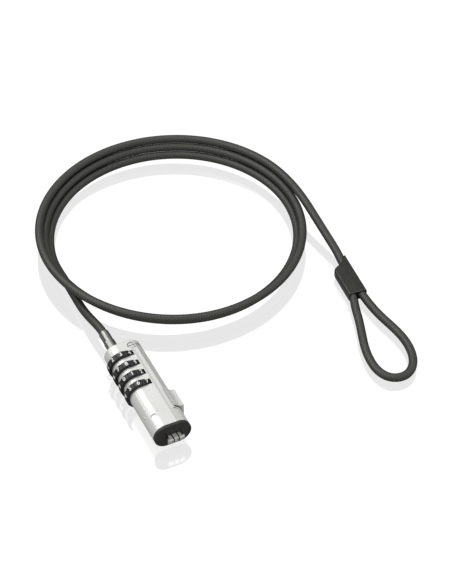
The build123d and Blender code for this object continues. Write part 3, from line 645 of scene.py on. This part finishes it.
def rounded_section(along, right, left, half_height, radii):
    """Rounded rectangle square to the crimp; radii are for the bottom and the top."""
    low, high = CRIMP_Z - half_height, CRIMP_Z + half_height
    largest = (left - right) / 2 * 0.96
    low_radius, high_radius = (min(radius, largest) for radius in radii)
    points = []
    # each corner: side, inward sign, level, inward sign, radius, starting angle
    for side, side_in, level, level_in, radius, start in (
            (left, -1, low, 1, low_radius, 270), (left, -1, high, -1, high_radius, 0),
            (right, 1, high, -1, high_radius, 90), (right, 1, low, 1, low_radius, 180)):
        for k in range(CORNER_POINTS):
            angle = math.radians(start + 90 * k / (CORNER_POINTS - 1))
            points.append(crimp_point(along,
                                      side + side_in * radius + radius * math.cos(angle),
                                      level + level_in * radius + radius * math.sin(angle)))
    return np.array(points)


def pocket_section(along):
    return rounded_section(along, LEG_IN - POCKET_MARGIN, LEG_END + POCKET_MARGIN,
                           POCKET_MARGIN, (POCKET_RADIUS, POCKET_RADIUS))


def cover_mesh(name):
    edge_along, edge_across = zip(*COVER_LEFT)
    start, end = edge_along[0], edge_along[-1]
    direction = np.array([*CRIMP_DIR, 0])
    places = np.unique(np.r_[np.linspace(start, TAPER_END, TAPER_SECTIONS),
                             np.linspace(TAPER_END, end, BODY_SECTIONS)])
    outside = [rounded_section(along, COVER_RIGHT, left, COVER_HALF_HEIGHT, COVER_RADII)
               for along, left in zip(places, np.interp(places, edge_along, edge_across))]
    first = outside[0]
    middle = first.mean(axis=0)
    nose = [middle + (first - middle) * share - direction * beyond
            for share, beyond in COVER_NOSE]
    # rounded lip, then the inside wall of the pocket
    lip = (outside[-1] * (1 - LIP_SHARE) + pocket_section(end) * LIP_SHARE
           + direction * LIP_BULGE)
    obj = loft(name, nose + outside + [lip] + [pocket_section(t) for t in POCKET_DEPTHS])
    with editing(obj.data) as bm:
        bmesh.ops.triangulate(bm, faces=[f for f in bm.faces if len(f.verts) > 4])
        bmesh.ops.recalc_face_normals(bm, faces=bm.faces)
    smooth_by_angle(obj, 38)
    return obj


install(ferrule_mesh("double_ferrule"), CRIMP_ALUMINIUM, rides="cable",
        replaces="crimp_ferrule")
install(cover_mesh("crimp_cover"), COVER_PLASTIC, rides="cable",
        replaces="crimp_sleeve")

# ------------------------------------------------------------ return spring
# Coil round the spindle, its +Y end on its seat. It is built at rest and rides with the
# lock;
# its -Y end does not follow the carriage here.
WIRE_RADIUS, WIRE_SEGMENTS = 0.18, 12
SPRING_RADIUS, SPRING_PITCH = 2.24, 1.15
SPRING_SEAT_Y = 22.2
SPRING_START_Y = 16.42
SPRING_LENGTH = SPRING_SEAT_Y - WIRE_RADIUS - SPRING_START_Y

share = np.linspace(0, 1, 240)
angle = 2 * math.pi * (SPRING_LENGTH / SPRING_PITCH) * share
spring_line = np.stack([AXIS_X + SPRING_RADIUS * np.sin(angle),
                        SPRING_START_Y + SPRING_LENGTH * share,
                        SPRING_RADIUS * np.cos(angle)], -1)
spring = sweep("return_coil", spring_line, WIRE_RADIUS, WIRE_SEGMENTS)
install(spring, SPRING_STEEL, rides="lock", replaces="return_spring")
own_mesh(spring)

# ------------------------------------------------------------ dials & figures
FIRST_DIAL_Y, DIAL_PITCH = 49.20, 6.65
DIAL_RADIUS, DIAL_WIDTH, DIAL_BORE = 7.35, 3.10, 3.66
DIAL_SEGMENTS = 240
POSITIONS = 10
POSITION_ANGLE = 360 / POSITIONS
PHASE = -7.0                  # degrees of the first figure from the top, towards -X
TOP_FIGURES = (3, 8, 1, 6)
GROOVE_DEPTH, GROOVE_SPREAD = 0.20, 1.9     # the spread is in degrees
RIM = 0.95                    # outer band of the flat sides where the grooves fade in
GROOVE_FADE = 0.4
# One rolled edge: below the outer radius, in from the side
ROLLED_EDGE = ((RIM, 0), (0.30, 0), (0.12, 0.05), (0.03, 0.14), (0, 0.28))

FIGURE_SIZE, FIGURE_BOLDNESS = 2.95, 0.07
FIGURE_PROUD, FIGURE_SUNK = 0.045, -0.20    # its two faces, from the dial's radius
FIGURE_LONGEST_EDGE = 0.35    # longer edges are cut in three, to wrap on the dial


def dial_mesh(name, dial_y):
    """Ring with rolled edges and a shallow finger groove between the figures."""
    side = -DIAL_WIDTH / 2
    profile = [(DIAL_BORE, side)]
    profile += [(DIAL_RADIUS - below, side + inset) for below, inset in ROLLED_EDGE]
    profile += [(radius, -y) for radius, y in reversed(profile)]
    verts = []
    for i in range(DIAL_SEGMENTS):
        angle = 2 * math.pi * i / DIAL_SEGMENTS
        # degrees from the nearest groove
        off = (math.degrees(angle) - (PHASE + POSITION_ANGLE / 2)) % POSITION_ANGLE
        off = min(off, POSITION_ANGLE - off)
        dip = GROOVE_DEPTH * math.exp(-(off / GROOVE_SPREAD) ** 2)
        for radius, y in profile:
            fade = (radius - (DIAL_RADIUS - RIM)) / GROOVE_FADE
            grooved = radius - dip * max(0.0, min(1.0, fade))
            verts.append(((AXIS_X + grooved * math.sin(angle)) * MM, (dial_y + y) * MM,
                          grooved * math.cos(angle) * MM))
    obj = mesh_object(name, verts, quad_faces(DIAL_SEGMENTS, len(profile), closed=True))
    face_outwards(obj)
    smooth_by_angle(obj, 40)
    return obj


def text_mesh(name, text):
    curve = bpy.data.curves.new(name, "FONT")
    curve.body = text
    curve.size = FIGURE_SIZE
    curve.align_x, curve.align_y = "CENTER", "CENTER"
    curve.resolution_u = 4
    curve.offset = FIGURE_BOLDNESS
    holder = link(bpy.data.objects.new(name, curve))
    bpy.context.view_layer.update()
    depsgraph = bpy.context.evaluated_depsgraph_get()
    mesh = bpy.data.meshes.new_from_object(holder.evaluated_get(depsgraph))
    bpy.data.objects.remove(holder)
    return mesh


def figure_mesh(name, text, dial_y, degrees):
    """One raised figure, wrapped on the dial at an angle from the top."""
    mesh = text_mesh(name, text)
    with editing(mesh) as bm:
        bmesh.ops.triangulate(bm, faces=bm.faces)
        long_edges = [e for e in bm.edges if e.calc_length() > FIGURE_LONGEST_EDGE]
        bmesh.ops.subdivide_edges(bm, edges=long_edges, cuts=2)
        bmesh.ops.triangulate(bm, faces=bm.faces)
        xs = [v.co.x for v in bm.verts]
        ys = [v.co.y for v in bm.verts]
        middle_x = (min(xs) + max(xs)) / 2
        middle_y = (min(ys) + max(ys)) / 2
        extruded = bmesh.ops.extrude_face_region(bm, geom=bm.faces[:])["geom"]
        top = {v for v in extruded if isinstance(v, bmesh.types.BMVert)}
        for v in bm.verts:
            x, y = v.co.x - middle_x, v.co.y - middle_y
            radius = DIAL_RADIUS + (FIGURE_PROUD if v in top else FIGURE_SUNK)
            angle = math.radians(degrees) + x / DIAL_RADIUS
            v.co = Vector(((AXIS_X + radius * math.sin(angle)) * MM, (dial_y + y) * MM,
                           radius * math.cos(angle) * MM))
        bmesh.ops.recalc_face_normals(bm, faces=bm.faces)
    return mesh


def figure_ring(name, top_figure, dial_y):
    """All the figures of one dial as one object."""
    bm = bmesh.new()
    for k in range(POSITIONS):
        bm.from_mesh(figure_mesh(f"{name}_{k}", str((top_figure + k) % 10), dial_y,
                                 PHASE + POSITION_ANGLE * k))
    mesh = bpy.data.meshes.new(name)
    bm.to_mesh(mesh)
    bm.free()
    obj = link(bpy.data.objects.new(name, mesh))
    smooth_by_angle(obj, 35)
    return obj


for n, top_figure in enumerate(TOP_FIGURES, start=1):
    dial_y = FIRST_DIAL_Y - DIAL_PITCH * (n - 1)
    install(dial_mesh(f"dial_ring_{n}", dial_y), DIAL_BLACK, rides=f"dial_{n}_body",
            replaces=f"dial_{n}")
    install(figure_ring(f"dial_{n}_figures", top_figure, dial_y), FIGURE_WHITE,
            rides=f"dial_{n}_body")

# ------------------------------------------------------- stage, light, camera
FLOOR_Z = -7.9 * MM
FLOOR_HALF = 3                # metres


def floor_material():
    """White with a faint mirror image to the camera, dull grey to all other rays."""
    material = bpy.data.materials.new("floor_white")
    tree = empty_tree(material)
    glow = add_node(tree, "Emission", {0: (1, 1, 1), 1: 1.36})
    mirror = add_node(tree, "BsdfGlossy", {0: (1, 1, 1), "Roughness": 0.04})
    seen = add_node(tree, "MixShader", {0: 0.42, 1: glow.outputs[0], 2: mirror.outputs[0]})
    # the lamps skip the floor, so that it mirrors no lamp panel; the bounce stands in
    # for the light they would throw back from it
    grey = add_node(tree, "BsdfDiffuse", {0: (0.35, 0.35, 0.34)})
    bounce = add_node(tree, "Emission", {1: 0.12})
    unseen = add_node(tree, "AddShader", {0: grey.outputs[0], 1: bounce.outputs[0]})
    camera_ray = add_node(tree, "LightPath").outputs["Is Camera Ray"]
    either = add_node(tree, "MixShader",
                      {0: camera_ray, 1: unseen.outputs[0], 2: seen.outputs[0]})
    add_node(tree, "OutputMaterial", {0: either.outputs[0]})
    return material


def studio_world():
    """White surroundings, brighter overhead."""
    world = bpy.data.worlds.new("studio")
    tree = empty_tree(world)
    direction = add_node(tree, "TexCoord").outputs["Generated"]
    height = add_node(tree, "SeparateXYZ", {0: direction}).outputs["Z"]
    strength = add_node(tree, "MapRange", {
        "Value": height, "From Min": 0.05, "From Max": 0.85,
        "To Min": 0.14, "To Max": 0.72}, interpolation_type="SMOOTHSTEP")
    background = add_node(tree, "Background", {
        "Color": (1, 1, 1), "Strength": strength.outputs[0]})
    add_node(tree, "OutputWorld", {0: background.outputs[0]})
    return world


def point_at(obj, direction):
    obj.rotation_mode = "QUATERNION"
    obj.rotation_quaternion = direction.to_track_quat("-Z", "Y")


floor = mesh_object("floor", [(-FLOOR_HALF, -FLOOR_HALF, FLOOR_Z),
                              (FLOOR_HALF, -FLOOR_HALF, FLOOR_Z),
                              (FLOOR_HALF, FLOOR_HALF, FLOOR_Z),
                              (-FLOOR_HALF, FLOOR_HALF, FLOOR_Z)], [(0, 1, 2, 3)])
floor.data.materials.append(floor_material())
scene.world = studio_world()

lamps_skip = bpy.data.collections.new("lamps_skip_floor")
lamps_skip.objects.link(floor)
lamps_skip.collection_objects[0].light_linking.link_state = "EXCLUDE"

LAMP_TARGET = (0.06, 0.09, 0.0)   # metres
# name, location and size in metres, power in watts
LAMPS = (
    ("top_soft", (-0.32, 0.62, 0.80), 0.80, 4.2),
    ("left_soft", (-0.9, -0.1, 0.75), 0.45, 1.2),
    ("front_soft", (0.2, -0.9, 0.5), 0.4, 0.4),
    ("right_soft", (0.95, -0.25, 0.35), 0.5, 0.9),
)
for name, location, size, power in LAMPS:
    light = bpy.data.lights.new(name, "AREA")
    light.energy = power
    light.size = size
    lamp = link(bpy.data.objects.new(name, light))
    lamp.light_linking.receiver_collection = lamps_skip
    lamp.location = location
    point_at(lamp, Vector(LAMP_TARGET) - Vector(location))

CAMERA_TARGET = (60.33, 72.35, 0)
CAMERA_ELEVATION = 43.87      # degrees
CAMERA_DISTANCE = 1.0         # metres
elevation, azimuth = math.radians(CAMERA_ELEVATION), math.radians(CAMERA_AZIMUTH)
to_camera = Vector((math.sin(azimuth) * math.cos(elevation),
                    -math.cos(azimuth) * math.cos(elevation), math.sin(elevation)))
camera_data = bpy.data.cameras.new("cam")
camera_data.lens = 129.796027
camera_data.sensor_width = 36
camera_data.clip_start, camera_data.clip_end = 0.05, 20
camera = link(bpy.data.objects.new("camera", camera_data))
camera.location = Vector(CAMERA_TARGET) * MM + to_camera * CAMERA_DISTANCE
point_at(camera, -to_camera)
scene.camera = camera
scene.view_settings.view_transform = "Standard"
scene.view_settings.look = "None"
